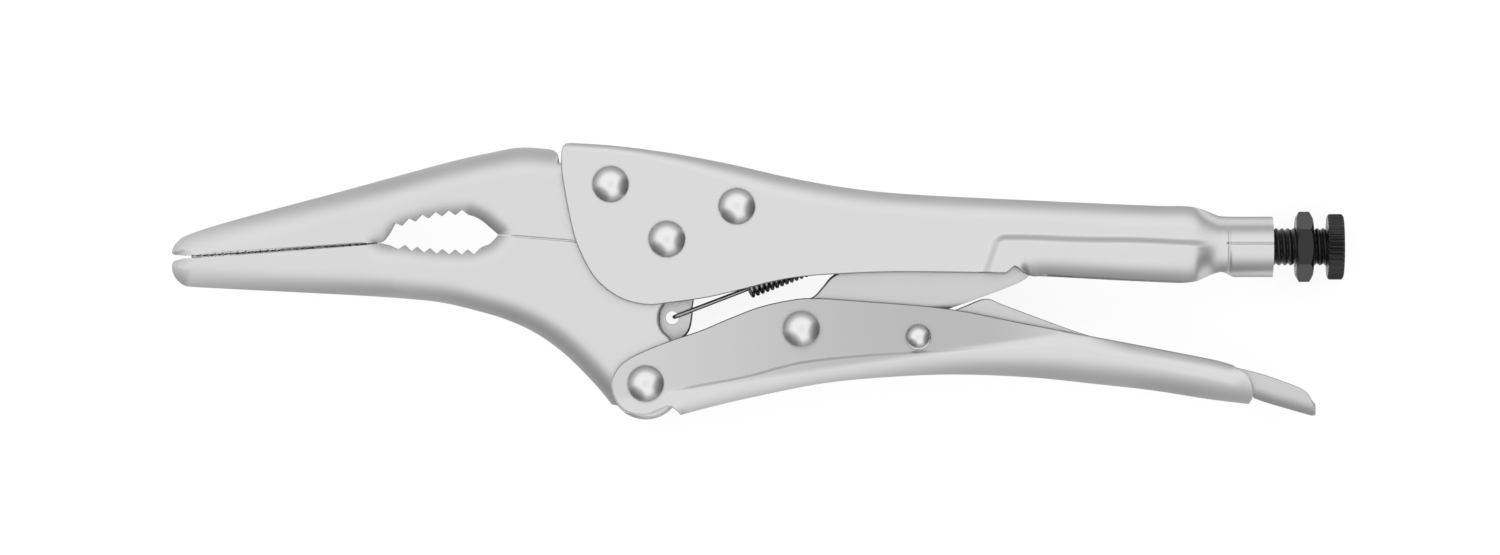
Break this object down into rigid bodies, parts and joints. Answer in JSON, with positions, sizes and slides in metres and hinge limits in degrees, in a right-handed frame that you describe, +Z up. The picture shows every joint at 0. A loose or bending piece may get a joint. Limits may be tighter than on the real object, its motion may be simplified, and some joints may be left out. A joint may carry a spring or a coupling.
{
  "type": "locking pliers",
  "caption": "Long-nose locking pliers: folded sheet handles, riveted jaws with a pipe grip, toggle link, release lever, opening spring and adjusting screw.",
  "frame": {"origin": "on the jaw pivot's axis, in the plane on which the pliers lie: the flat on the lower head of the jaw pivot rivet", "axes": "+X back along the body towards the adjusting screw, +Y towards the fixed upper handle, +Z up through the thickness"},
  "size_m": [0.25, 0.059, 0.0196],
  "materials": {
    "satin_nickel": "satin",
    "forged_nickel": "satin",
    "link_nickel": "satin",
    "polished_rivet": "polished",
    "spring_steel": "dark",
    "black_oxide": "matt black oxide"
  },
  "bodies": {
    "body": {"body_shell": "satin_nickel", "upper_jaw": "forged_nickel", "upper_jaw_front_rivet": "polished_rivet", "upper_jaw_rear_rivet": "polished_rivet", "jaw_pivot_rivet": "polished_rivet"},
    "lower_jaw": {"lower_jaw": "forged_nickel", "opening_spring": "spring_steel"},
    "lower_handle": {"lower_handle": "satin_nickel", "handle_pivot_rivet": "polished_rivet", "link_rivet": "polished_rivet", "release_lever_rivet": "polished_rivet"},
    "toggle_link": {"toggle_link": "link_nickel"},
    "release_lever": {"release_lever": "link_nickel"},
    "adjusting_screw": {"adjusting_screw": "black_oxide"},
    "lock_nut": {"lock_nut": "black_oxide"},
    "knurled_knob": {"knurled_knob": "black_oxide"}
  },
  "joints": [
    {"name": "jaw_pivot", "type": "hinge", "parent": "body", "child": "lower_jaw", "pos_m": [0, 0, 0.0098], "axis": [0, 0, 1], "range_deg": [0, 20], "deforming": ["opening_spring"]},
    {"name": "handle_pivot", "type": "hinge", "parent": "lower_jaw", "child": "lower_handle", "pos_m": [-0.0045, -0.0308, 0.0098], "axis": [0, 0, 1], "range_deg": [-56.5, 0]},
    {"name": "link_pivot", "type": "hinge", "parent": "lower_handle", "child": "toggle_link", "pos_m": [0.0286, -0.0192, 0.0098], "axis": [0, 0, 1], "range_deg": [0, 66.6]},
    {"name": "release_pivot", "type": "hinge", "parent": "lower_handle", "child": "release_lever", "pos_m": [0.0535, -0.0208, 0.0098], "axis": [0, 0, 1], "range_deg": [0, 8]},
    {"name": "screw_travel", "type": "slide", "parent": "body", "child": "adjusting_screw", "axis": [1, 0, 0], "range_m": [0, 0.01]},
    {"name": "knob_turn", "type": "hinge", "parent": "adjusting_screw", "child": "knurled_knob", "pos_m": [0.1426, -0.00165, 0.0098], "axis": [1, 0, 0], "range_deg": [0, 2880]},
    {"name": "lock_nut_spin", "type": "hinge", "parent": "adjusting_screw", "child": "lock_nut", "pos_m": [0.13595, -0.00165, 0.0098], "axis": [1, 0, 0], "continuous": true}
  ],
  "couplings": [
    {"joint": "handle_pivot", "follows": "jaw_pivot", "ratio": -2.82},
    {"joint": "link_pivot", "follows": "jaw_pivot", "ratio": 3.324},
    {"joint": "release_pivot", "follows": "jaw_pivot", "ratio": 0.4},
    {"joint": "knob_turn", "follows": "screw_travel", "rad_per_m": 5026.5}
  ]
}
